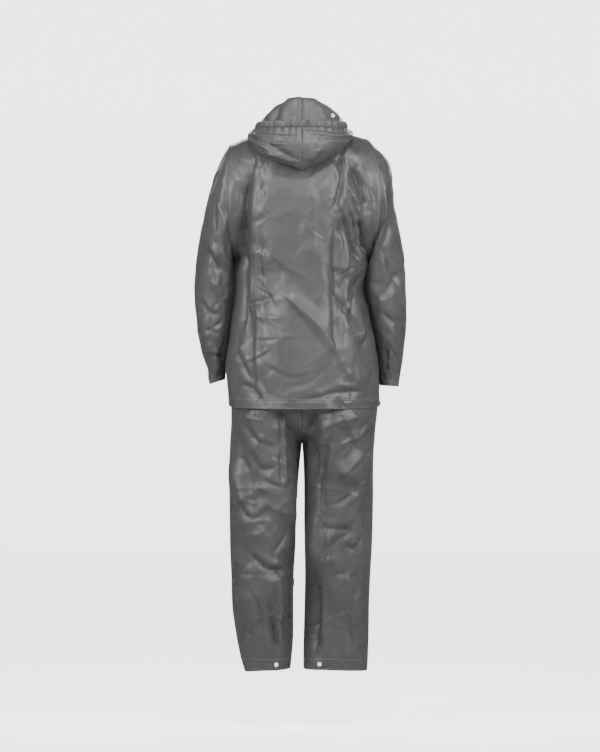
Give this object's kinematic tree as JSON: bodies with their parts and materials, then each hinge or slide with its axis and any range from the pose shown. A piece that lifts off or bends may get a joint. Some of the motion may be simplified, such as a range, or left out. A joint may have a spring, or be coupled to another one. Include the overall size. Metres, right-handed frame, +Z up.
{
  "type": "rain suit",
  "caption": "Rain suit of thin coated cloth: zip jacket with a folded hood over loose straight trousers, in the pose it has when worn.",
  "frame": {"origin": "middle of the neck at shoulder height, where the jacket hangs on its wearer", "axes": "+Z up, +Y the way the wearer faces, +X to the wearer's right"},
  "size_m": [0.5173, 0.31, 1.3911],
  "materials": {
    "cloth": "satin coated taffeta",
    "hood_cloth": "satin coated taffeta",
    "elastic": "matt elastic webbing",
    "zip_tape": "matt woven tape",
    "metal": "satin"
  },
  "bodies": {
    "suit": {"jacket_back": "cloth", "jacket_front_left": "cloth", "jacket_front_right": "cloth", "sleeve_left": "cloth", "sleeve_right": "cloth", "collar": "cloth", "hood_left": "hood_cloth", "hood_right": "hood_cloth", "hood_channel": "hood_cloth", "hood_eyelet": "metal", "trouser_back_left": "cloth", "trouser_back_right": "cloth", "trouser_front_left": "cloth", "trouser_front_right": "cloth", "waistband": "elastic", "stud_left": "metal", "stud_right": "metal", "zip_tape_left": "zip_tape", "zip_tape_right": "zip_tape", "zip_slider": "metal"},
    "pull": {"zip_pull": "metal"}
  },
  "joints": [
    {"name": "pull_swing", "type": "hinge", "parent": "suit", "child": "pull", "pos_m": [0, 0.0827, -0.03], "axis": [1, 0, 0], "range_deg": [0, 150]}
  ]
}
